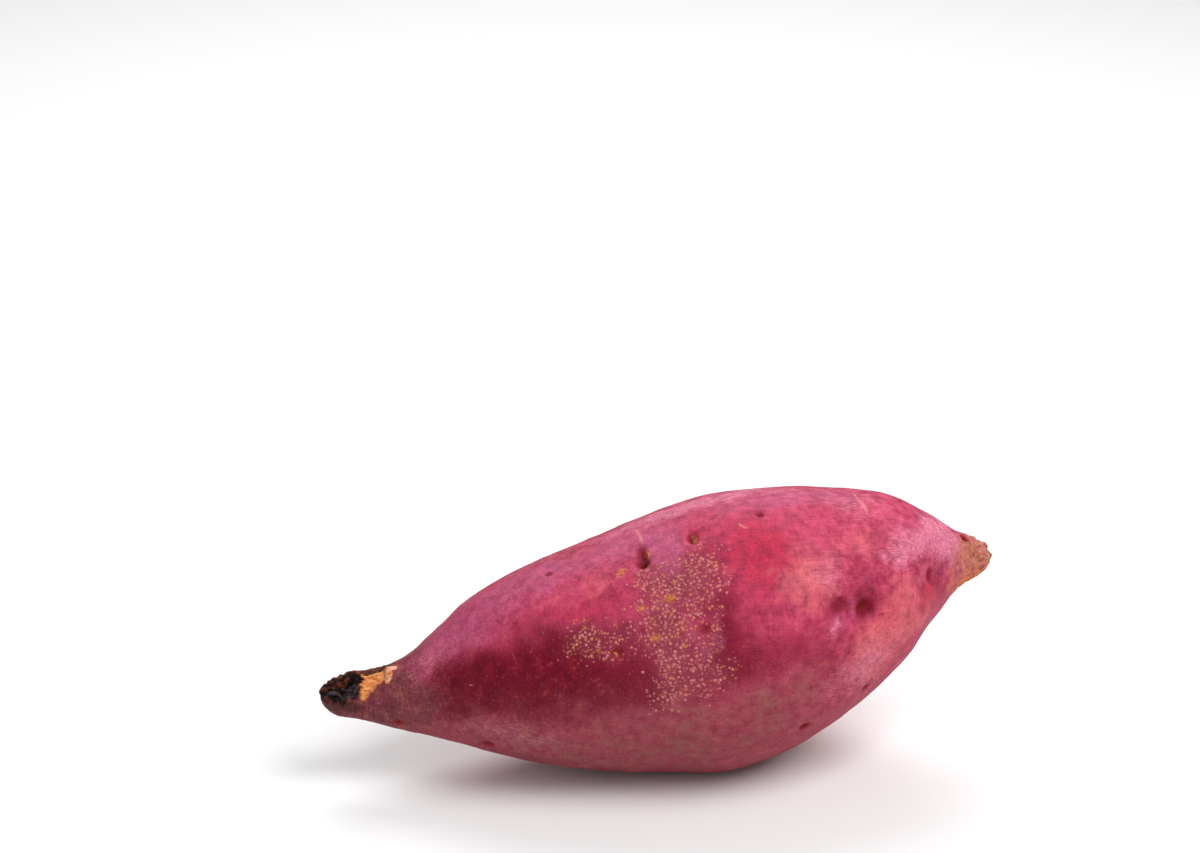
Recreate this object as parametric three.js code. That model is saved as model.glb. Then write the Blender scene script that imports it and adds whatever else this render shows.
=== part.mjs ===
// A sweet potato lying on its belly: one solid root, in millimetres, with +Z up.
// X runs along the root, from the torn stem end (-X) to the corky tail end (+X), and -Y is its front.
// The origin is on the surface that the root rests on, under the middle of the root's box.
import * as THREE from "three";
import { mergeVertices } from "three/addons/utils/BufferGeometryUtils.js";

// Driving dimensions
const rootLength = 182; // tip to tip, along X
const ringCount = 56; // rings of vertices along the root
const sideCount = 48; // vertices round each ring
const stemRounding = 5.5; // the blunt stem end comes to its full girth over this distance
const tailRounding = 4.5; // and the tail end over this one
const ovalWidth = 0.97; // half width over half height
const restDepth = 0.8; // how much of the belly's underside is pressed flat
const skinColour = "#b23a5e";

// The root's form: distance from the stem end, height of the centre line, half height.
const form = [
  [0, 26.2, 4.6],
  [8, 26.2, 5.9],
  [18, 25.2, 8.1],
  [26, 26.2, 11.5],
  [40, 30.0, 19.5],
  [55, 31.7, 26.0],
  [72, 33.0, 30.8],
  [92, 35.3, 35.4],
  [108, 37.1, 37.6],
  [124, 39.5, 35.6],
  [140, 43.3, 30.3],
  [154, 47.7, 23.2],
  [165, 50.8, 14.0],
  [172, 51.6, 8.0],
  [178, 51.8, 5.0],
  [182, 51.6, 4.0],
];

// Sideways bow of the centre line: the neck and the tail both swing a little to the back.
const bow = { stem: 3.0, tail: 2.0, belly: 105 };

// Slow swellings round the girth: how many, how strong, where the first one is in degrees, and the
// degrees that it winds over the root's length. Angles are from the top towards the front.
const swellings = [
  { count: 2, share: 0.016, from: 20, wind: 50 },
  { count: 3, share: 0.01, from: 75, wind: -70 },
  { count: 5, share: 0.005, from: 10, wind: 40 },
];

// Wide dimples over the eyes: distance from the stem end, degrees from the top, half width, depth.
const dimples = [
  [139, 70, 5.0, 2.0],
  [131, 66, 4.5, 1.2],
  [160, 71, 3.5, 1.1],
  [96, 62, 5.0, 0.9],
  [75, 62, 4.5, 0.9],
  [83, 22, 4.5, 1.1],
  [97, 19, 4.0, 0.9],
  [70, 195, 5.0, 1.2],
  [120, 255, 5.0, 1.4],
  [60, 285, 4.5, 1.2],
  [145, 305, 4.5, 1.4],
];

// The torn stem end: a hollow that faces up and to the front, and the strip torn from its rim.
const hollow = { along: 5.0, round: 22, halfLength: 5.0, halfWidth: 4.8, depth: 3.4 };
const strip = { along: 13.0, round: 26, halfLength: 4.5, halfWidth: 3.4, depth: 0.7 };

const radians = THREE.MathUtils.degToRad;

// A smooth curve through the rows of a table, read at a distance in its first column.
function tableAt(table, distance, column) {
  let k = 0;
  while (k < table.length - 2 && distance > table[k + 1][0]) k++;
  const [before, start, end, after] = [k - 1, k, k + 1, k + 2].map(
    (i) => table[THREE.MathUtils.clamp(i, 0, table.length - 1)],
  );
  const span = end[0] - start[0];
  const startSlope = (end[column] - before[column]) / (end[0] - before[0]);
  const endSlope = (after[column] - start[column]) / (after[0] - start[0]);
  const s = (distance - start[0]) / span;
  return (
    start[column] * (2 * s ** 3 - 3 * s ** 2 + 1) +
    startSlope * span * (s ** 3 - 2 * s ** 2 + s) +
    end[column] * (3 * s ** 2 - 2 * s ** 3) +
    endSlope * span * (s ** 3 - s ** 2)
  );
}

// Goes from 0 at an end to 1 a rounding's length away, as a quarter circle does.
function roundedEnd(distance, rounding) {
  const left = 1 - Math.min(distance / rounding, 1);
  return Math.sqrt(1 - left * left);
}

// The centre line's place across the root.
function bowAt(distance) {
  const away = distance - bow.belly;
  const reach = away < 0 ? bow.belly : rootLength - bow.belly;
  return (away < 0 ? bow.stem : bow.tail) * (away / reach) ** 2;
}

// How deep the surface dips into a feature that is centred at a distance and an angle.
function dipAt(distance, angle, radius, centre, centreAngle, halfLength, halfWidth, depth) {
  const turn = Math.atan2(Math.sin(angle - centreAngle), Math.cos(angle - centreAngle));
  const along = (distance - centre) / halfLength;
  const across = (turn * Math.max(radius, 1)) / halfWidth;
  return depth * Math.exp(-(along ** 2 + across ** 2));
}

// A point of the skin. The angle is from the top towards the front.
function skinPoint(distance, angle) {
  const girth = tableAt(form, distance, 2);
  const swelling = swellings.reduce((sum, { count, share, from, wind }) => {
    const start = radians(from + (wind * distance) / rootLength);
    return sum + share * Math.cos(count * (angle - start));
  }, 1);
  const dips = [
    ...dimples.map(([along, degrees, halfWidth, depth]) =>
      dipAt(distance, angle, girth, along, radians(degrees), halfWidth, halfWidth, depth),
    ),
    ...[hollow, strip].map(({ along, round, halfLength, halfWidth, depth }) =>
      dipAt(distance, angle, girth, along, radians(round), halfLength, halfWidth, depth),
    ),
  ];
  const ends =
    roundedEnd(distance, stemRounding) * roundedEnd(rootLength - distance, tailRounding);
  const radius = (girth * swelling - dips.reduce((a, b) => a + b, 0)) * ends;
  return new THREE.Vector3(
    distance - rootLength / 2,
    bowAt(distance) - radius * ovalWidth * Math.sin(angle),
    Math.max(tableAt(form, distance, 1) + radius * Math.cos(angle) - restDepth, 0),
  );
}

// A turned blank of unit girth is reshaped, vertex by vertex, into the root.
function rootGeometry() {
  const profile = [];
  for (let i = 0; i <= ringCount; i++) {
    const distance = (rootLength * (1 - Math.cos((Math.PI * i) / ringCount))) / 2;
    const isTip = i === 0 || i === ringCount;
    profile.push(new THREE.Vector2(isTip ? 0 : 1, distance));
  }
  const blank = new THREE.LatheGeometry(profile, sideCount);
  const places = blank.getAttribute("position");
  for (let i = 0; i < places.count; i++) {
    const distance = THREE.MathUtils.clamp(places.getY(i), 0, rootLength);
    const point = skinPoint(distance, Math.atan2(places.getX(i), places.getZ(i)));
    places.setXYZ(i, point.x, point.y, point.z);
  }
  blank.deleteAttribute("normal");
  blank.deleteAttribute("uv");
  return withoutSlivers(mergeVertices(blank, 1e-3));
}

// At the two tips a turned blank has triangles with no area, which a solid can't hold.
function withoutSlivers(geometry) {
  const corners = geometry.index.array;
  const kept = [];
  for (let i = 0; i < corners.length; i += 3) {
    const [a, b, c] = corners.slice(i, i + 3);
    if (a !== b && b !== c && c !== a) kept.push(a, b, c);
  }
  return geometry.setIndex(kept);
}

function sweetPotato() {
  const geometry = rootGeometry();
  geometry.computeBoundingBox();
  const middle = geometry.boundingBox.getCenter(new THREE.Vector3());
  geometry.translate(-middle.x, -middle.y, 0);
  geometry.computeVertexNormals();
  const skin = new THREE.MeshStandardMaterial({
    color: skinColour,
    roughness: 0.55,
    metalness: 0,
  });
  const mesh = new THREE.Mesh(geometry, skin);
  mesh.name = "sweet_potato";
  return mesh;
}

const root = new THREE.Group();
root.add(sweetPotato());
export default root;
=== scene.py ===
# A sweet potato on a pale table: its skin, eyes, torn stem end and corky tail end.
import math

import bmesh
import bpy
import numpy as np
from mathutils import Matrix, Vector, noise


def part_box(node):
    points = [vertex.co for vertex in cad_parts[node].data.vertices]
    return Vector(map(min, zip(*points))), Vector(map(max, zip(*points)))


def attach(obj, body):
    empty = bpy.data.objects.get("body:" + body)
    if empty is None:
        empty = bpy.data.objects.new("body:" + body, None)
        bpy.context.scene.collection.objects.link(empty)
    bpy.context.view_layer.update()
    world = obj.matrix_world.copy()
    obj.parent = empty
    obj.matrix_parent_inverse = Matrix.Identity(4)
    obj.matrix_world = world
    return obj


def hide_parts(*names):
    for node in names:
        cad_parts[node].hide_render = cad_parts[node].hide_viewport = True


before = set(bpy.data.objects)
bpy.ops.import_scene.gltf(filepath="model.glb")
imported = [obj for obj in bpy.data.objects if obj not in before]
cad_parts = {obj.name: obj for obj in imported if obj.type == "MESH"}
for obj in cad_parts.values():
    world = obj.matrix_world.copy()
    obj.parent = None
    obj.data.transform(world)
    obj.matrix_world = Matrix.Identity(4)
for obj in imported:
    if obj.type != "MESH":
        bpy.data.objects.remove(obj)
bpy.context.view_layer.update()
rootLow, rootHigh = (Vector(corner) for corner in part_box("sweet_potato"))
rootMiddle = (rootLow + rootHigh) / 2
print("frame loaded, the root's box is", [round(side * 1000, 1) for side in rootHigh - rootLow], "mm")


# Places on the root are a distance from the stem end and an angle from the top towards the front.
rootForm = {
    "length": (rootHigh.x - rootLow.x) * 1000,
    "stemRounding": 5.5,  # the blunt stem end comes to its full girth over this distance
    "tailRounding": 4.5,
    "ovalWidth": 0.97,  # half width over half height
    "restDepth": 0.8,  # how much of the belly's underside is pressed flat
    "bow": {"stem": 3.0, "tail": 2.0, "belly": 105},  # how far both ends swing back from the belly
    # distance, height of the centre line, half height
    "stations": [
        (0, 26.2, 4.6),
        (8, 26.2, 5.9),
        (18, 25.2, 8.1),
        (26, 26.2, 11.5),
        (40, 30.0, 19.5),
        (55, 31.7, 26.0),
        (72, 33.0, 30.8),
        (92, 35.3, 35.4),
        (108, 37.1, 37.6),
        (124, 39.5, 35.6),
        (140, 43.3, 30.3),
        (154, 47.7, 23.2),
        (165, 50.8, 14.0),
        (172, 51.6, 8.0),
        (178, 51.8, 5.0),
        (182, 51.6, 4.0),
    ],
    # how many round the girth, how strong, where the first one is, how far it winds over the length
    "swellings": [(2, 0.016, 20, 50), (3, 0.01, 75, -70), (5, 0.005, 10, 40)],
}

# Wide soft dimples: distance, angle, half width, depth.
dimples = [
    (139, 70, 5.0, 2.0),
    (131, 66, 4.5, 1.2),
    (160, 71, 3.5, 1.1),
    (96, 62, 5.0, 0.9),
    (75, 62, 4.5, 0.9),
    (83, 22, 4.5, 1.1),
    (97, 19, 4.0, 0.9),
    (70, 195, 5.0, 1.2),
    (120, 255, 5.0, 1.4),
    (60, 285, 4.5, 1.2),
    (145, 305, 4.5, 1.4),
]

# Eyes are small sharp pits: distance, angle, half length, half width, depth, darkness.
eyes = [
    (60, 11, 0.9, 0.8, 0.5, 0.7),
    (83, 25, 1.4, 1.6, 2.0, 1.0),
    (83.5, 19, 1.2, 2.6, 1.0, 0.75),
    (96.5, 20, 1.1, 2.0, 1.8, 1.0),
    (115, 16, 0.9, 1.1, 0.9, 0.9),
    (37, 59, 1.4, 2.0, 0.4, 0.4),
    (42, 63, 1.4, 1.8, 0.5, 0.45),
    (49.5, 63, 1.2, 2.2, 0.5, 0.4),
    (62.5, 67, 1.0, 2.1, 0.6, 0.7),
    (73.5, 65, 1.4, 1.1, 0.7, 0.75),
    (96, 62, 1.4, 1.3, 0.5, 0.5),
    (131, 66, 1.6, 2.0, 0.6, 0.45),
    (139, 70, 1.6, 1.6, 1.3, 0.85),
    (160, 71, 0.9, 2.0, 0.9, 0.75),
    (19.5, 122, 1.2, 1.2, 0.4, 0.8),
    (42, 137, 1.4, 1.2, 0.5, 0.8),
    (123, 120, 1.4, 1.2, 0.8, 0.9),
    (140.5, 119, 1.0, 0.9, 0.4, 0.7),
    (174, 15, 1.0, 1.5, 1.1, 1.0),
    (70, 195, 1.3, 1.6, 1.0, 0.9),
    (98, 200, 1.1, 1.8, 0.9, 0.8),
    (133, 190, 1.2, 1.3, 0.8, 0.8),
    (45, 250, 1.0, 1.2, 0.6, 0.7),
    (88, 252, 1.3, 1.5, 0.9, 0.9),
    (120, 255, 1.5, 1.8, 1.3, 0.9),
    (155, 245, 1.1, 1.3, 0.7, 0.7),
    (60, 285, 1.4, 1.5, 1.0, 0.9),
    (102, 300, 1.1, 1.9, 1.1, 0.9),
    (145, 305, 1.5, 1.6, 1.2, 0.9),
]

# Pale scars: distance, angle, half length, half width, height.
scars = [
    (84.5, 8, 0.5, 4.5, 0.08),
    (84, 0, 0.8, 0.8, 0.15),
    (110, 23, 0.8, 0.5, 0.1),
    (109, 21, 0.5, 0.9, 0.1),
    (143, 3, 0.5, 2.6, 0.08),
    (143.5, 9, 1.0, 0.7, 0.08),
    (144, 16, 0.5, 3.0, 0.08),
    (37, 72, 0.5, 0.5, 0.05),
    (94, 77, 0.9, 0.5, 0.05),
    (52, 215, 0.5, 4.0, 0.08),
    (112, 320, 3.0, 0.5, 0.08),
]

# Stubs of old rootlets in the eyes: distance, angle, half length, half width, height.
stubs = [
    (85, 21, 0.7, 2.0, 0.9),
    (97, 20, 0.6, 1.7, 0.9),
    (73, 66, 0.5, 0.7, 0.3),
    (71, 194, 0.5, 1.5, 0.7),
    (121, 254, 0.5, 1.6, 0.8),
    (146, 304, 0.5, 1.5, 0.8),
    (61, 285, 0.5, 1.2, 0.6),
]

# The torn stem end: distance, angle, half length, half width, and how far it stands up or dips.
tear = {
    "hollow": [(4.9, 20, 5.7, 6.4, -3.5)],
    "rust": [(4.0, -28, 5.0, 3.2, 0.0)],
    "ash": [(6.4, 48, 3.0, 3.0, 0.9), (2.6, 40, 1.6, 1.6, 0.5)],
    "flesh": [
        (11.6, 0, 1.8, 2.4, -0.4),
        (11.0, 40, 1.8, 4.4, -0.4),
        (12.6, 33, 2.0, 2.8, -0.2),
        (14.4, 18, 3.4, 2.4, -0.5),
    ],
    "knob": [(18.0, 20, 1.3, 2.0, 0.8), (19.0, 12, 1.4, 1.3, 0.9), (17.4, 32, 1.0, 1.2, 0.4)],
    "bark": [(15.0, -12, 4.6, 2.6, 0.2), (17.2, 2, 0.7, 0.8, 1.2)],
    "lip": [(1.5, 100, 4.6, 4.5, 0.2), (7.0, 100, 3.5, 2.2, 0.1), (2.0, 235, 5.0, 8.0, 0.0)],
}

# How a torn surface is roughened. Shares are of a patch's half size.
tornSurface = {
    "coarse": 2.4,  # sizes of the lumps that its edges wander in
    "fine": 0.9,
    "fineShare": 0.5,
    "edgeWander": 0.2,
    "edge": (0.55, 1.3),  # a patch's colour fades out between these shares
    "hollowWall": (0.25, 1.0),
    "rim": {"height": 0.5, "at": 1.08, "width": 0.16},
    "lumps": {"height": 0.8, "size": 1.9},
    "fibres": {"height": 0.4, "size": 1.1, "stretch": 2.2},
}

# The corky tail end: where it starts on top and below, and where its tip starts.
cork = {
    "startOnTop": 175,
    "startBelow": 167.5,
    "lowestAngle": 125,
    "tipStart": 177,
    "softness": 5.2,
    "ragged": 1.5,  # how far its edge wanders
    "crumbHeight": 0.7,
    "crumbSize": 1.9,
}

# Unevenness of the skin: how high it stands and the size of its lumps.
unevenness = {
    "lumps": {"height": 0.4, "size": 26},
    "ripples": {"height": 0.16, "size": 9},
    "furrows": {"height": 0.12, "size": 6, "stretch": 7},
    "wrinkles": {"height": 0.04, "onNeck": 0.1, "size": 1.6, "stretch": 4},
    "neck": (22, 40),  # the neck's wrinkles die out between these distances
    "eyeRim": {"share": 0.12, "at": 1.9, "width": 0.6},
    "eyeDarkReach": 1.05,
}

# How far the tints' edges wander, and in lumps of what size.
tintEdges = {"wander": 3.0, "ochreWander": 0.2, "size": 7, "sharpness": 0.9}

# Tints on the skin, some of them painted light and shade: distance, angle, half length, half width,
# strength.
tints = {
    "rose": [
        (38, 42, 9, 7, 0.9),
        (63, 32, 12, 7, 0.8),
        (80, 50, 12, 7, 0.4),
        (110, 40, 8, 12, 0.5),
        (128, 30, 14, 9, 0.6),
        (150, 25, 10, 9, 0.7),
        (120, 66, 10, 7, 0.5),
        (95, 5, 30, 7, 0.3),
        (60, 200, 22, 14, 0.6),
        (120, 215, 18, 14, 0.7),
        (80, 310, 24, 16, 0.6),
        (150, 265, 12, 12, 0.6),
    ],
    # Lilac tone in part, and in part painted sheen and highlights: the lit upper flank, the edges below the
    # dimples and the upper side before the tail.
    "lilacAndSheen": [
        (34, 20, 12, 8, 0.8),
        (55, 8, 16, 8, 0.8),
        (80, 10, 10, 8, 0.8),
        (89.5, 24, 5, 10, 1.0),
        (98, 70, 3, 4, 0.6),
        (125, 3, 22, 7, 0.7),
        (156, 34, 8, 6, 0.6),
        (166, 48, 5, 6, 0.6),
        (166, 15, 5, 7, 0.6),
        (130, 74, 3, 4, 0.7),
        (135.5, 68, 1.4, 3.5, 0.6),
        (141, 60, 3, 3, 0.4),
        (72, 195, 20, 14, 0.6),
        (128, 235, 14, 16, 0.6),
        (55, 300, 14, 12, 0.6),
    ],
    # Crimson tone in part, and in part painted shade: the dark band low on the left flank and the shade in
    # the wide dimples.
    "crimsonAndShade": [
        (34, 76, 8, 7, 0.9),
        (42, 72, 9, 8, 0.95),
        (54, 74, 12, 9, 0.95),
        (68, 78, 12, 9, 0.75),
        (80, 74, 6, 7, 0.3),
        (56, 96, 15, 7, 0.45),
        (56, 52, 9, 5, 0.3),
        (60, 58, 8, 4, 0.4),
        (72, 56, 8, 5, 0.35),
        (101, 62, 5, 12, 0.55),
        (104, 80, 9, 8, 0.5),
        (116, 78, 9, 6, 0.4),
        (96, 34, 3, 5, 0.3),
        (94, 18, 2, 2, 0.3),
        (82, 86, 9, 6, 0.5),
        (128, 88, 8, 5, 0.4),
        (131.5, 64, 3, 3.5, 0.7),
        (139.5, 68, 3.5, 4, 0.85),
        (163, 75, 3.5, 4, 0.5),
        (100, 180, 20, 16, 0.6),
        (60, 235, 18, 14, 0.7),
        (110, 290, 18, 16, 0.6),
    ],
    "scarlet": [
        (113, 38, 9, 12, 0.75),
        (107, 20, 6, 8, 0.25),
        (65, 40, 12, 5, 0.4),
        (136, 14, 8, 5, 0.5),
        (146, 80, 6, 6, 0.6),
        (158, 88, 4, 5, 0.8),
        (44, 55, 8, 4, 0.5),
        (90, 225, 16, 12, 0.6),
        (130, 330, 14, 10, 0.6),
    ],
    # Painted highlights: the pale rim along the top, the pale haze before the tail and the lit edges below
    # the dimples; a few patches elsewhere lighten the skin's tone.
    "blushAndHighlight": [
        (130, 50, 5, 5, 0.4),
        (150, 50, 5, 4, 0.7),
        (157, 44, 6, 5, 0.8),
        (166, 40, 4, 6, 0.8),
        (163, 20, 4, 4, 0.4),
        (168, 28, 4, 7, 0.8),
        (130, 75, 1.6, 2.5, 0.6),
        (98, 66, 1.6, 3, 0.5),
        (102, -8, 26, 5, 0.8),
        (141, 12, 9, 8, 0.4),
        (46, 118, 12, 5, 0.45),
        (137, 103, 10, 6, 0.5),
        (28, 30, 6, 5, 0.4),
        (170, 300, 5, 8, 0.6),
        (150, 215, 8, 8, 0.6),
    ],
    "coral": [
        (60, 34, 9, 4, 0.2),
        (72, 30, 5, 4, 0.4),
        (124, 50, 7, 8, 0.9),
        (150, 72, 6, 6, 0.5),
        (142, 98, 8, 10, 0.9),
        (154, 96, 5, 7, 0.6),
        (140, 40, 8, 5, 0.4),
        (140, 200, 12, 14, 0.8),
        (88, 265, 12, 12, 0.6),
        (140, 320, 12, 12, 0.7),
    ],
    # Dust on the underside, made lighter in part as painted bounce light from the table.
    "dustAndBounce": [
        (42, 114, 14, 7, 0.7),
        (59, 110, 20, 10, 0.8),
        (84, 102, 16, 9, 0.7),
        (115, 98, 14, 8, 0.9),
        (98, 118, 24, 10, 0.9),
        (80, 125, 24, 12, 0.8),
        (95, 150, 50, 22, 0.8),
        (95, 185, 45, 20, 0.5),
        (88, 66, 6, 9, 0.5),
        (90, 40, 5, 5, 0.4),
    ],
    "umber": [
        (14, 84, 9, 8, 1.0),
        (22, 84, 7, 6, 0.9),
        (21, 45, 4, 4, 0.5),
        (12, 130, 10, 10, 0.9),
        (12, 180, 10, 10, 0.9),
        (14, 250, 10, 9, 0.8),
        (24, 215, 10, 12, 0.5),
        (22, 300, 9, 12, 0.5),
        (24, 0, 6, 5, 0.4),
        (34, 125, 12, 6, 0.3),
        (60, 145, 26, 8, 0.5),
    ],
    "speckle": [
        (93, 42, 6, 5, 1.0),
        (90, 74, 6, 8, 1.0),
        (97, 36, 4, 5, 0.7),
        (97, 52, 3, 6, 0.5),
        (86, 60, 5, 9, 0.95),
        (66, 57, 5, 3.5, 0.9),
        (74, 60, 5, 3.5, 0.7),
        (88, 87, 7, 4, 0.8),
        (97, 78, 5, 4, 0.7),
        (83, 38, 3, 7, 0.8),
        (85, 205, 12, 12, 0.8),
        (120, 275, 10, 12, 0.8),
        (60, 330, 8, 8, 0.6),
    ],
    "ochre": [
        (77, 27, 1.5, 1.3, 1.0),
        (88, 47, 2.2, 1.2, 1.0),
        (80.5, 48, 1.5, 1.2, 0.9),
        (82.5, 53, 1.0, 1.0, 0.8),
        (83, 62, 1.3, 1.1, 0.9),
        (98, 26, 1.0, 1.4, 0.6),
        (69, 63, 0.7, 1.8, 0.6),
        (92, 240, 1.6, 1.3, 0.9),
        (118, 280, 2.0, 1.4, 0.9),
    ],
}


def throughStations(distance, column):  # a smooth curve through one column of the stations
    rows = np.array(rootForm["stations"], float)
    index = np.clip(np.searchsorted(rows[:, 0], distance) - 1, 0, len(rows) - 2)
    before = np.clip(index - 1, 0, None)
    after = np.clip(index + 2, None, len(rows) - 1)
    start, end = rows[index], rows[index + 1]
    span = end[:, 0] - start[:, 0]
    startSlope = (end - rows[before])[:, column] / (end - rows[before])[:, 0]
    endSlope = (rows[after] - start)[:, column] / (rows[after] - start)[:, 0]
    s = (distance - start[:, 0]) / span
    return (
        start[:, column] * (2 * s**3 - 3 * s**2 + 1)
        + startSlope * span * (s**3 - 2 * s**2 + s)
        + end[:, column] * (3 * s**2 - 2 * s**3)
        + endSlope * span * (s**3 - s**2)
    )


def roundedEnd(distance, rounding):  # 0 at an end, and 1 a rounding's length away, as a quarter circle
    left = 1 - np.clip(distance / rounding, 0, 1)
    return np.sqrt(1 - left**2)


def smoothStep(low, high, value):
    s = np.clip((value - low) / (high - low), 0, 1)
    return s * s * (3 - 2 * s)


def howFar(places, centre, degrees, halfLength, halfWidth):
    # how far places are from a feature's middle, where 1 is its edge
    distance, angle, girth = places
    turn = np.angle(np.exp(1j * (angle - math.radians(degrees))))
    return np.hypot((distance - centre) / halfLength, turn * np.maximum(girth, 1) / halfWidth)


def noiseAt(points, size, octaves=2, stretch=(1, 1, 1), offset=0.0):
    # fractal noise, about -1 to 1, whose lumps are about size wide
    scaled = points / (size * np.array(stretch)) + offset
    return np.array([noise.fractal(Vector(p), 0.7, 2.0, octaves) for p in scaled])


meshCounts = {
    "rings": 292,
    "sides": 320,
    # how many more rings there are near the torn end, the corky end and both tips, and within what reach
    "tearDensity": 2.2,
    "tearReach": 15,
    "tailDensity": 1.6,
    "tailReach": 10,
    "tipDensity": 7.0,
    "tipReach": 0.5,
    "seamAngle": 216,  # the flat map's seam, low at the back
}


def ringDistances():  # rings stand closer together at the torn end and at the corky end
    length = rootForm["length"]
    along = np.linspace(0, length, 4000)
    left = length - along
    tips = np.exp(-along / meshCounts["tipReach"]) + np.exp(-left / meshCounts["tipReach"])
    density = (
        1
        + meshCounts["tearDensity"] * np.exp(-((along / meshCounts["tearReach"]) ** 2))
        + meshCounts["tailDensity"] * np.exp(-((left / meshCounts["tailReach"]) ** 2))
        + meshCounts["tipDensity"] * tips
    )
    total = np.concatenate([[0], np.cumsum((density[1:] + density[:-1]) / 2)])
    return np.interp(np.linspace(0, total[-1], meshCounts["rings"] + 1), total, along)


def turnedBlank():  # a tube of unit radius round the X axis, closed to a point at both ends
    bm = bmesh.new()
    distances = ringDistances()
    ends = (distances[0], distances[-1])
    profile = [bm.verts.new((d, 0, 0 if d in ends else 1)) for d in distances]
    edges = [bm.edges.new(pair) for pair in zip(profile, profile[1:])]
    bmesh.ops.spin(
        bm,
        geom=profile + edges,
        cent=(0, 0, 0),
        axis=(1, 0, 0),
        angle=math.tau,
        steps=meshCounts["sides"],
        use_merge=True,
    )
    bmesh.ops.remove_doubles(bm, verts=bm.verts, dist=1e-5)
    bmesh.ops.recalc_face_normals(bm, faces=bm.faces)
    mesh = bpy.data.meshes.new("sweet_potato_skin")
    bm.to_mesh(mesh)
    bm.free()
    return mesh


def readPoints(mesh):
    found = np.empty(len(mesh.vertices) * 3)
    mesh.vertices.foreach_get("co", found)
    return found.reshape(-1, 3)


def writePoints(mesh, points):
    mesh.vertices.foreach_set("co", points.ravel())
    mesh.update()


def readNormals(mesh):
    found = np.empty(len(mesh.vertices) * 3, np.float32)
    mesh.vertex_normals.foreach_get("vector", found)
    return found.reshape(-1, 3).astype(float)


def addBakeMap(mesh, distance, angle):
    # the skin unrolled flat, with the rings across it and the girth up it
    corners = np.empty(len(mesh.loops), np.int32)
    mesh.loops.foreach_get("vertex_index", corners)
    sizes = np.empty(len(mesh.polygons), np.int32)
    mesh.polygons.foreach_get("loop_total", sizes)
    face = np.repeat(np.arange(len(sizes)), sizes)
    distances = ringDistances()
    across = np.interp(distance, distances, np.linspace(0, 1, len(distances)))[corners]
    turn = (angle[corners] - math.radians(meshCounts["seamAngle"])) / math.tau
    isTip = (across < 1e-6) | (across > 1 - 1e-6)
    pointers = np.where(isTip, 0, np.exp(1j * math.tau * turn))
    sums = np.bincount(face, pointers.real) + 1j * np.bincount(face, pointers.imag)
    middle = (np.angle(sums) / math.tau % 1)[face]
    up = middle + np.where(isTip, 0, (turn - middle + 0.5) % 1 - 0.5)
    layer = mesh.uv_layers.new(name="OFBake")
    layer.uv.foreach_set("vector", np.stack([across, up], 1).astype(np.float32).ravel())


def smoothRoot(distance, angle):  # the root's plain form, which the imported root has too
    length = rootForm["length"]
    girth = throughStations(distance, 2)
    swelling = np.ones_like(girth)
    for count, share, start, wind in rootForm["swellings"]:
        swelling += share * np.cos(count * (angle - np.radians(start + wind * distance / length)))
    places = (distance, angle, girth)
    dips = sum(
        depth * np.exp(-howFar(places, centre, degrees, half, half) ** 2)
        for centre, degrees, half, depth in dimples
    )
    ends = roundedEnd(distance, rootForm["stemRounding"])
    ends = ends * roundedEnd(length - distance, rootForm["tailRounding"])
    radius = (girth * swelling - dips) * ends
    bow = rootForm["bow"]
    away = distance - bow["belly"]
    toStem = bow["stem"] * (away / bow["belly"]) ** 2
    toTail = bow["tail"] * (away / (length - bow["belly"])) ** 2
    points = np.stack(
        [
            distance - length / 2,
            np.where(away < 0, toStem, toTail) - radius * rootForm["ovalWidth"] * np.sin(angle),
            throughStations(distance, 1) + radius * np.cos(angle) - rootForm["restDepth"],
        ],
        1,
    )
    points[:, 1] -= (points[:, 1].max() + points[:, 1].min()) / 2
    points[:, 2] = np.maximum(points[:, 2], 0)
    return points, places


def raggedness(points):  # how much a torn edge wanders, from about -1 to 1
    fine = tornSurface["fineShare"] * noiseAt(points, tornSurface["fine"])
    return noiseAt(points, tornSurface["coarse"], 3) + fine


def tearRelief(points, places, masks):  # the broken stem end, and where each of its surfaces shows
    wander = raggedness(points)
    rim, lumps, fibres = (tornSurface[name] for name in ("rim", "lumps", "fibres"))
    wallStart, wallEnd = tornSurface["hollowWall"]
    relief = np.zeros(len(points))
    for name, patches in tear.items():
        masks[name] = np.zeros(len(points))
        for centre, degrees, halfLength, halfWidth, height in patches:
            away = howFar(places, centre, degrees, halfLength, halfWidth)
            away = away + tornSurface["edgeWander"] * wander
            masks[name] = np.maximum(masks[name], 1 - smoothStep(*tornSurface["edge"], away))
            if name == "hollow":
                relief += height * (1 - smoothStep(wallStart, wallEnd, away))
                ridge = np.exp(-(((away - rim["at"]) / rim["width"]) ** 2))
                relief += rim["height"] * ridge * (0.6 + 0.8 * wander)
                inside = lumps["height"] * (1 - smoothStep(0.6, wallEnd, away))
                relief += inside * noiseAt(points, lumps["size"], 3, offset=11.0)
            else:
                relief += height * np.exp(-(away**2)) * (1 + 0.5 * wander)
    strands = noiseAt(points, fibres["size"], 3, (fibres["stretch"], 1, 1), 13.0)
    return relief + fibres["height"] * masks["flesh"] * strands


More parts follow.
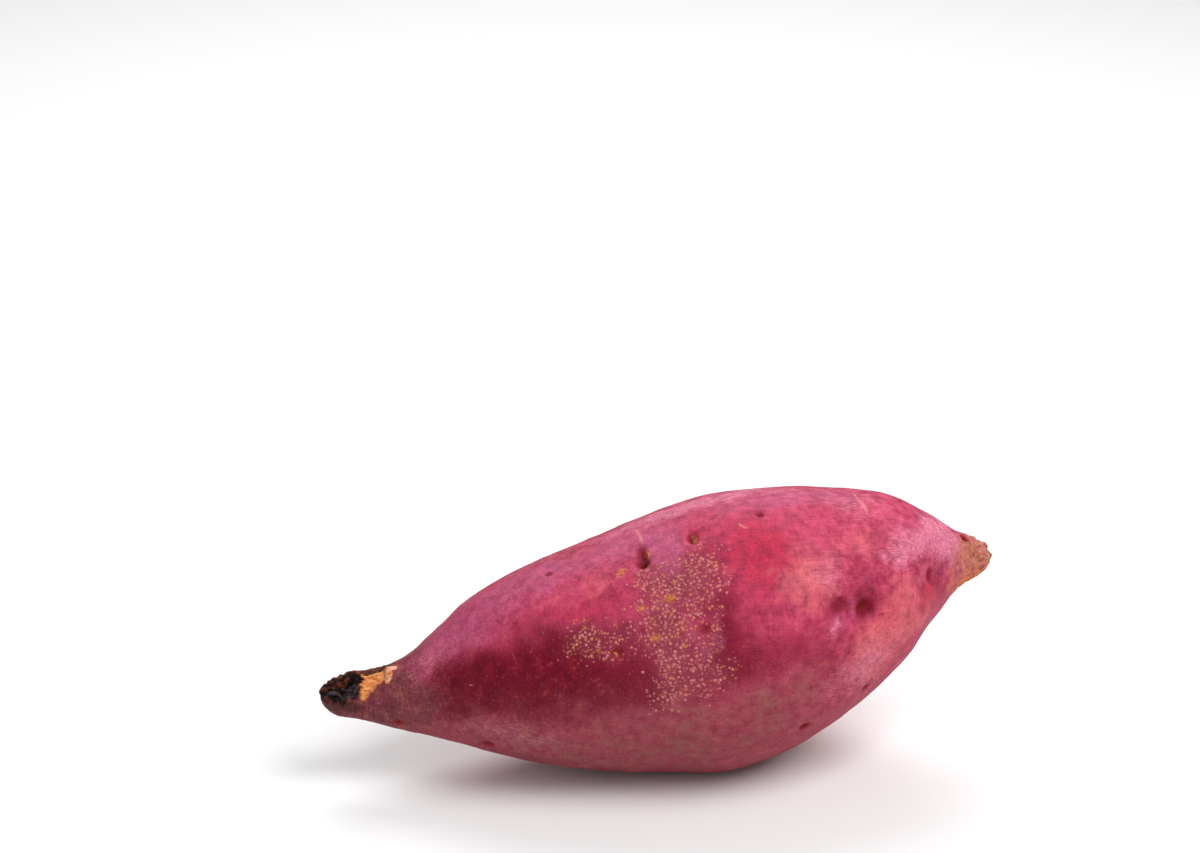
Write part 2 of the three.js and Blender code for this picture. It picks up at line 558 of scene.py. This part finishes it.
def fineRelief(points, places):  # how far the skin stands out from the plain form, and the paint masks
    distance, angle, girth = places
    lumps, ripples = unevenness["lumps"], unevenness["ripples"]
    relief = lumps["height"] * noiseAt(points, lumps["size"])
    relief += ripples["height"] * noiseAt(points, ripples["size"], offset=7.0)
    furrows, wrinkles = unevenness["furrows"], unevenness["wrinkles"]
    alongRoot, roundGirth = (furrows["stretch"], 1, 1), (1, wrinkles["stretch"], wrinkles["stretch"])
    relief += furrows["height"] * noiseAt(points, furrows["size"], 2, alongRoot, 3.0)
    onNeck = 1 - smoothStep(*unevenness["neck"], distance)
    wrinkleHeight = wrinkles["height"] + wrinkles["onNeck"] * onNeck
    relief += wrinkleHeight * noiseAt(points, wrinkles["size"], 2, roundGirth, 5.0)
    masks = {}
    dark = np.zeros_like(distance)
    rim = unevenness["eyeRim"]
    for centre, degrees, halfLength, halfWidth, depth, darkness in eyes:
        away = howFar(places, centre, degrees, halfLength, halfWidth)
        relief -= depth * np.exp(-(away**2))
        relief += rim["share"] * depth * np.exp(-(((away - rim["at"]) / rim["width"]) ** 2))
        dark = np.maximum(dark, darkness * np.exp(-((away / unevenness["eyeDarkReach"]) ** 2)))
    masks["eye"] = dark
    relief += tearRelief(points, places, masks)
    startShare = (1 - np.cos(angle - math.radians(cork["lowestAngle"]))) / 2
    start = cork["startBelow"] + (cork["startOnTop"] - cork["startBelow"]) * startShare
    ragged = distance - start + cork["ragged"] * raggedness(points)
    masks["cork"] = smoothStep(-cork["softness"], cork["softness"], ragged)
    masks["tip"] = smoothStep(cork["tipStart"], rootForm["length"], distance)
    for name, patches in (("scar", scars), ("stub", stubs)):
        masks[name] = np.zeros_like(distance)
        for centre, degrees, halfLength, halfWidth, height in patches:
            away = howFar(places, centre, degrees, halfLength, halfWidth)
            relief += height * np.exp(-(away**2))
            masks[name] = np.maximum(masks[name], 1 - smoothStep(0.5, 1.3, away))
    masks["low"] = smoothStep(-0.35, 0.7, -np.cos(angle))  # the underside
    crumbs = noiseAt(points, cork["crumbSize"], 3, offset=17.0) - 0.2
    relief += cork["crumbHeight"] * smoothStep(0, 5, ragged) * crumbs * (1 - 0.6 * masks["low"])
    warp = np.stack([noiseAt(points, tintEdges["size"], offset=o) for o in (21.0, 23.0)], 1)
    warp *= tintEdges["wander"]
    for name, patches in tints.items():
        bend = tintEdges["ochreWander"] if name == "ochre" else 1.0
        bent = (
            distance + bend * warp[:, 0],
            angle + bend * warp[:, 1] / np.maximum(girth, 4),
            girth,
        )
        left = np.ones_like(distance)
        for centre, degrees, halfLength, halfWidth, strength in patches:
            away = howFar(bent, centre, degrees, halfLength, halfWidth)
            left *= 1 - strength * np.exp(-(away**2) * tintEdges["sharpness"])
        masks[name] = 1 - left
    return relief, masks


def skinPiece():
    mesh = turnedBlank()
    blank = readPoints(mesh)
    distance = np.clip(blank[:, 0], 0, rootForm["length"])
    angle = np.arctan2(-blank[:, 1], blank[:, 2])
    points, places = smoothRoot(distance, angle)
    writePoints(mesh, points)
    relief, masks = fineRelief(points, places)
    points = points + readNormals(mesh) * relief[:, None]
    points[:, 2] = np.maximum(points[:, 2], 0)
    middle = np.array([rootMiddle.x, rootMiddle.y, rootLow.z])
    writePoints(mesh, points / 1000 + middle)
    mesh.shade_smooth()
    addBakeMap(mesh, distance, angle)
    for name, values in masks.items():
        attribute = mesh.attributes.new(name, "FLOAT", "POINT")
        attribute.data.foreach_set("value", values.astype(np.float32))
    piece = bpy.data.objects.new("sweet_potato_skin", mesh)
    bpy.context.collection.objects.link(piece)
    print("skin mesh has", len(mesh.polygons), "faces")
    return piece


def screen(red, green, blue):  # a colour as a screen shows it, 0 to 255, in the shader's own units
    shares = [channel / 255 for channel in (red, green, blue)]
    linear = [s / 12.92 if s <= 0.04045 else ((s + 0.055) / 1.055) ** 2.4 for s in shares]
    return (*linear, 1.0)


class Wire:  # a socket that gives a value: sums, differences and products of wires add Math nodes
    def __init__(self, tree, socket=None):
        self.tree = tree
        self.socket = socket

    def node(self, kind, settings=None, sockets=None, output=0):
        made = self.tree.nodes.new("ShaderNode" + kind)
        for name, value in (settings or {}).items():
            setattr(made, name, value)
        for name, value in (sockets or {}).items():
            if isinstance(value, Wire):
                self.tree.links.new(value.socket, made.inputs[name])
            else:
                made.inputs[name].default_value = value
        return Wire(self.tree, made.outputs[output])

    def beside(self, name):  # another output of the same node
        return Wire(self.tree, self.socket.node.outputs[name])

    def maths(self, operation, first, second):
        return self.node("Math", {"operation": operation}, {0: first, 1: second})

    def __add__(self, other):
        return self.maths("ADD", self, other)

    def __radd__(self, other):
        return self.maths("ADD", other, self)

    def __sub__(self, other):
        return self.maths("SUBTRACT", self, other)

    def __rsub__(self, other):
        return self.maths("SUBTRACT", other, self)

    def __mul__(self, other):
        return self.maths("MULTIPLY", self, other)

    def __rmul__(self, other):
        return self.maths("MULTIPLY", other, self)

    def step(self, low, high, start=0.0, end=1.0):  # eases from start to end between low and high
        sockets = {0: self, 1: low, 2: high, 3: start, 4: end}
        return self.node("MapRange", {"interpolation_type": "SMOOTHSTEP"}, sockets)

    def blend(self, first, second, mode="MIX"):  # this wire is the factor between two colours
        settings = {"data_type": "RGBA", "blend_type": mode}
        return self.node("Mix", settings, {0: self, 6: first, 7: second}, 2)

    def scaled(self, share):  # a colour made lighter or darker
        return self.node("VectorMath", {"operation": "SCALE"}, {0: self, "Scale": share})

    def grain(self, size, detail=2.0, stretch=(1, 1, 1), offset=(0, 0, 0), roughness=0.5):
        # noise on this wire's places, in lumps about size wide
        share = [1 / (size * side) for side in stretch]
        mapped = self.node("Mapping", {}, {"Location": offset, "Scale": share, "Vector": self})
        sockets = {"Vector": mapped, "Scale": 1.0, "Detail": detail, "Roughness": roughness}
        return self.node("TexNoise", {}, sockets)

    def mask(self, name):
        return self.node("Attribute", {"attribute_name": name}, {}, "Fac")


skinLook = {
    "base": screen(168, 46, 78),
    "rose": screen(190, 66, 98),
    # lilac tone, also laid on as painted sheen and highlights
    "lilacAndSheen": screen(180, 76, 112),
    # pale pink for the painted highlights along the top, before the tail and below the dimples
    "blushAndHighlight": screen(204, 106, 134),
    # crimson tone, also laid on as painted shade low on the left flank and in the dimples
    "crimsonAndShade": screen(108, 0, 30),
    "scarlet": screen(180, 38, 68),
    "coral": screen(206, 96, 106),
    # dust colours of the underside, lightened in part as painted bounce light from the table
    "dustAndBounce": screen(152, 74, 80),
    "olive": screen(132, 82, 76),
    "umber": screen(112, 50, 60),
    "mauve": screen(128, 54, 66),
    "speckle": screen(212, 128, 128),
    "speckleDark": screen(204, 128, 88),
    "ochre": screen(204, 128, 64),
    "ochreDark": screen(160, 78, 48),
    "eye": screen(104, 24, 14),
    "eyeEdge": screen(124, 22, 36),
    "stub": screen(226, 142, 98),
    "stubDark": screen(150, 52, 40),
    "brown": screen(120, 66, 52),
    "scar": screen(222, 146, 136),
    # pale, for the tiny flecks and for the painted highlight streaks
    "pale": screen(226, 160, 182),
    "cork": screen(172, 100, 72),
    "corkPale": screen(212, 178, 148),
    "corkPink": screen(198, 118, 106),
    "corkDark": screen(92, 46, 30),
    "corkOrange": screen(214, 118, 64),
    "flesh": screen(232, 156, 96),
    "fleshDeep": screen(194, 108, 60),
    "fleshDark": screen(120, 54, 30),
    "knob": screen(228, 168, 142),
    "bark": screen(64, 30, 24),
    "rust": screen(112, 54, 32),
    "ash": screen(86, 72, 78),
    "char": screen(18, 11, 10),
}


# Sizes of the skin's grain and how many flecks and dots fit in a millimetre, and the skin's gloss.
skinFinish = {
    "wide": 9,
    "medium": 3.0,
    "small": 0.9,
    "thread": 0.5,
    "flecksPerSide": 1.5,
    "dotsPerSide": 1.25,
    "roughness": (0.48, 0.6),
    "specular": 0.1,
    "bump": 0.001,
}


def mottled(place, look):  # the skin's own colour, its tints with their painted highlights, sheen, shade and bounce light, and its fine grain
    wide = place.grain(skinFinish["wide"], 3)
    medium = place.grain(skinFinish["medium"], 3, offset=(5, 0, 0))
    small = place.grain(skinFinish["small"], 3, offset=(0, 9, 0), roughness=0.65)
    streaks = place.grain(skinFinish["thread"], 2, (12, 1, 1), (0, 0, 3))
    rings = place.grain(skinFinish["thread"], 2, (1, 5, 5), (2, 0, 0))
    colour = (wide * 0.5 + medium * 0.5).step(0.38, 0.66, 0.0, 0.8).blend(look["base"], look["rose"])
    # the lilac and blush tints carry painted highlights and sheen, and the crimson one painted shade
    for name in ("rose", "scarlet", "coral", "lilacAndSheen", "blushAndHighlight", "crimsonAndShade", "umber"):
        edge = place.mask(name) + (medium - 0.5) * 0.5 + (small - 0.5) * 0.15
        colour = (edge.step(0.05, 0.84) * 0.96).blend(colour, look[name])
    browned = place.mask("umber") * (medium * 0.7 + rings * 0.3).step(0.48, 0.6) * 0.5
    colour = browned.blend(colour, look["brown"])
    # dust on the underside, its lightness partly painted bounce light from the table
    dustAndBounce = place.mask("dustAndBounce") * (1 - place.mask("crimsonAndShade") * 0.8)
    dustAndBounce = dustAndBounce * (small * 0.4 + medium * 0.6).step(0.36, 0.58, 0.5, 1.0)
    dustAndBounceColour = (wide * 0.5 + small * 0.5).step(0.44, 0.6).blend(look["dustAndBounce"], look["olive"])
    colour = dustAndBounce.blend(colour, dustAndBounceColour)
    # pale streaks painted as highlights where the blush and lilac highlights lie
    highlightStreaks = streaks.step(0.48, 0.66) * (place.mask("blushAndHighlight") * 0.45 + place.mask("lilacAndSheen") * 0.06)
    colour = highlightStreaks.blend(colour, look["pale"])
    weave = small * 0.5 + rings * 0.25 + streaks * 0.25
    shade = weave * 2.0 + medium * 0.9 - 0.48 + (rings - 0.5) * place.mask("umber") * 0.9
    return colour.scaled(shade), small, medium, weave, dustAndBounce


def flecks(place):  # tiny pale flecks all over the skin
    cells = place.node("TexVoronoi", {}, {"Vector": place, "Scale": skinFinish["flecksPerSide"]})
    parts = place.node("SeparateColor", {}, {0: cells.beside("Color")})
    return (parts.beside("Green") * 0.2 + 0.2 - cells).step(0.0, 0.2) * (0.45 - parts).step(0.0, 0.2)


def lenticels(place, medium):  # where the tan dots show, and which are darker
    bend = place.node("TexNoise", {}, {"Vector": place, "Scale": 1.6}, 1)
    bent = place.node("VectorMath", {"operation": "MULTIPLY_ADD"}, {0: bend, 1: (0.6, 0.6, 0.6), 2: place})
    cells = place.node("TexVoronoi", {}, {"Vector": bent, "Scale": skinFinish["dotsPerSide"]})
    parts = place.node("SeparateColor", {}, {0: cells.beside("Color")})
    density = place.mask("speckle") * medium.step(0.34, 0.56, 0.75, 1.9)
    present = (density - parts).step(0.0, 0.1)
    dot = (parts.beside("Green") * 0.28 + 0.42 - cells).step(0.0, 0.34) * present
    return dot * parts.beside("Green").step(0.0, 1.0, 0.4, 0.85), parts.beside("Blue").step(0.5, 0.85)


def corkColours(place, look, medium):  # pinkish where it starts, then tan with dark cracks and a pale tip
    crumbs = place.grain(1.2, 4, offset=(3, 3, 3), roughness=0.7)
    tip, low = place.mask("tip"), place.mask("low")
    colour = (medium.step(0.4, 0.6) * 0.6 + tip * 0.4).blend(look["corkPink"], look["cork"])
    colour = (low * crumbs.step(0.4, 0.55)).blend(colour, look["corkOrange"])
    colour = (crumbs.step(0.48, 0.58) * (0.15 + tip * 0.7) * (1 - low * 0.8)).blend(colour, look["corkPale"])
    cracks = crumbs.step(0.37, 0.49, 1.0, 0.0) * (0.5 + tip * 0.2 + tip * low * 0.5)
    return cracks.blend(colour, look["corkDark"]), crumbs


def tornEnd(place, look, colour, small, crumbs):  # the broken stem end's colours, over the skin's
    fibres = place.grain(0.8, 3, (3, 1, 1), (1, 4, 0), 0.6)
    rough = small - 0.5
    lip = (place.mask("lip") + rough * 0.9).step(0.2, 1.1) * 0.75
    colour = lip.blend(colour, look["bark"])
    halo = (place.mask("flesh") + place.mask("knob") + rough * 0.8).step(0.05, 0.5) * 0.75
    colour = halo.blend(colour, look["fleshDark"])
    flesh = (place.mask("flesh") + rough * 0.8).step(0.2, 0.95)
    fleshColour = (fibres * 0.6 + crumbs * 0.4).step(0.38, 0.6).blend(look["fleshDeep"], look["flesh"])
    fleshColour = (crumbs.step(0.34, 0.46, 1.0, 0.0) * 0.45).blend(fleshColour, look["fleshDark"])
    colour = flesh.blend(colour, fleshColour)
    bark = (place.mask("bark") + rough * 0.7).step(0.3, 0.6)
    colour = bark.blend(colour, small.step(0.4, 0.62).blend(look["bark"], look["rust"]))
    knob = (place.mask("knob") + rough * 1.6).step(0.3, 0.85)
    colour = knob.blend(colour, fibres.step(0.38, 0.52).blend(look["fleshDeep"], look["knob"]))
    singed = (place.mask("hollow") + rough * 0.8).step(0.0, 0.4) * 0.8
    colour = singed.blend(colour, look["bark"])
    char = (place.mask("hollow") + rough * 0.6).step(0.3, 0.55)
    inside = (crumbs.step(0.42, 0.6) * (place.mask("rust") * 0.9 + 0.1)).blend(look["char"], look["rust"])
    inside = (fibres.step(0.4, 0.6) * place.mask("ash")).blend(inside, look["ash"])
    return char.blend(colour, inside), flesh, char, fibres


def skinMaterial():
    look = skinLook
    material = bpy.data.materials.new("redSkin")
    material.use_nodes = True
    tree = material.node_tree
    tree.nodes.clear()
    start = Wire(tree)
    objectPlace = start.node("TexCoord", {}, {}, "Object")
    place = start.node("VectorMath", {"operation": "SCALE"}, {0: objectPlace, "Scale": 1000.0})
    colour, small, medium, weave, dustAndBounce = mottled(place, look)
    rough = small - 0.5

    colour = (place.mask("speckle") * 0.65).blend(colour, look["mauve"])
    colour = (flecks(place) * (0.12 + place.mask("umber") * 0.2)).blend(colour, look["pale"])
    dot, darker = lenticels(place, medium)
    colour = dot.blend(colour, darker.blend(look["speckle"], look["speckleDark"]))
    blotch = (place.mask("ochre") + rough * 1.8).step(0.25, 0.9)
    colour = (blotch * 0.75).blend(colour, small.step(0.4, 0.56).blend(look["ochreDark"], look["ochre"]))

    corkColour, crumbs = corkColours(place, look, medium)
    corky = (place.mask("cork") + rough * 1.2 + (medium - 0.5) * 1.6).step(0.15, 1.05)
    colour = (corky * 0.95).blend(colour, corkColour)

    eye = place.mask("eye") + rough * 0.25
    colour = eye.step(0.04, 0.45, 0.0, 0.8).blend(colour, look["eyeEdge"])
    colour = eye.step(0.45, 0.85).blend(colour, look["eye"])
    scar = (place.mask("scar") + rough * 0.9).step(0.2, 0.8)
    colour = (scar * 0.45).blend(colour, look["scar"])
    stubColour = small.step(0.4, 0.6).blend(look["stubDark"], look["stub"])
    colour = (place.mask("stub") * 0.85).blend(colour, stubColour)

    colour, flesh, char, fibres = tornEnd(place, look, colour, small, crumbs)

    smooth, rougher = skinFinish["roughness"]
    roughness = medium.step(0.3, 0.7, smooth, rougher) + dot * 0.15 + corky * 0.25 + flesh * 0.2
    roughness = roughness + dustAndBounce * 0.15 + eye * 0.3 - char * fibres.step(0.45, 0.6) * 0.35
    height = (weave - 0.5) * 0.2 + dot * 0.1 + corky * (crumbs - 0.5) * 0.6
    height = height + flesh * (fibres - 0.5) * 0.35 + char * (crumbs - 0.5) * 1.2
    bump = place.node("Bump", {}, {"Distance": skinFinish["bump"], "Height": height})
    shader = place.node(
        "BsdfPrincipled",
        {},
        {
            "Base Color": colour,
            "Roughness": roughness,
            "Normal": bump,
            "Specular IOR Level": skinFinish["specular"],
        },
    )
    output = tree.nodes.new("ShaderNodeOutputMaterial")
    tree.links.new(shader.socket, output.inputs["Surface"])
    return material


def tableMaterial():
    material = bpy.data.materials.new("paleTable")
    material.use_nodes = True
    shader = material.node_tree.nodes["Principled BSDF"]
    shader.inputs["Base Color"].default_value = studio["tableColour"]
    shader.inputs["Roughness"].default_value = studio["tableRoughness"]
    return material


studio = {
    "azimuth": -12.5,
    "elevation": 25.0,
    "distance": 0.888,
    "lens": 100.0,
    "lookRight": -0.052,  # how far the aim is from the root's middle, as a share of the image's width
    "lookUp": 0.171,
    "tableSide": 6.0,
    "tableGap": 0.0002,  # the table is this far under the root
    "tableColour": (0.86, 0.86, 0.86, 1),
    "tableRoughness": 0.8,
    "worldStrength": 0.3,
    # azimuth, elevation, distance, side, power
    "lights": [(44, 54, 1.1, 0.7, 10.6), (-50, 30, 1.2, 0.8, 2.1), (175, 50, 1.1, 0.7, 7.0)],
}


def fromAngles(azimuth, elevation):  # the direction from the object towards a place that looks at it
    turn, rise = math.radians(azimuth), math.radians(elevation)
    return Vector((math.sin(turn) * math.cos(rise), -math.cos(turn) * math.cos(rise), math.sin(rise)))


def addCamera():
    data = bpy.data.cameras.new("camera")
    data.lens = studio["lens"]
    camera = bpy.data.objects.new("camera", data)
    bpy.context.collection.objects.link(camera)
    back = fromAngles(studio["azimuth"], studio["elevation"])
    right = Vector((0, 0, 1)).cross(back).normalized()
    up = back.cross(right)
    imageWidth = studio["distance"] / studio["lens"] * data.sensor_width
    camera.location = rootMiddle + back * studio["distance"]
    aim = rootMiddle + (right * studio["lookRight"] + up * studio["lookUp"]) * imageWidth
    camera.rotation_euler = (aim - camera.location).to_track_quat("-Z", "Y").to_euler()
    bpy.context.scene.camera = camera


def addLights():
    for index, (azimuth, elevation, distance, side, power) in enumerate(studio["lights"]):
        data = bpy.data.lights.new("light" + str(index), "AREA")
        data.shape = "SQUARE"
        data.size = side
        data.energy = power
        light = bpy.data.objects.new(data.name, data)
        light.location = rootMiddle + fromAngles(azimuth, elevation) * distance
        light.rotation_euler = (rootMiddle - light.location).to_track_quat("-Z", "Y").to_euler()
        bpy.context.collection.objects.link(light)
    world = bpy.data.worlds.new("studioWorld")
    world.use_nodes = True
    background = world.node_tree.nodes["Background"]
    background.inputs["Color"].default_value = (1, 1, 1, 1)
    background.inputs["Strength"].default_value = studio["worldStrength"]
    bpy.context.scene.world = world


def addTable():
    bm = bmesh.new()
    bmesh.ops.create_grid(bm, x_segments=1, y_segments=1, size=studio["tableSide"] / 2)
    mesh = bpy.data.meshes.new("table")
    bm.to_mesh(mesh)
    bm.free()
    mesh.transform(Matrix.Translation((0, 0, rootLow.z - studio["tableGap"])))
    table = bpy.data.objects.new("table", mesh)
    bpy.context.collection.objects.link(table)
    mesh.materials.append(tableMaterial())


bpy.context.scene.view_settings.view_transform = "Standard"
addCamera()
addLights()
addTable()
print("stage ready")
skin = skinPiece()
skin.data.materials.append(skinMaterial())
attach(skin, "root")
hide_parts("sweet_potato")
print("skin ready")

bpy.context.view_layer.update()
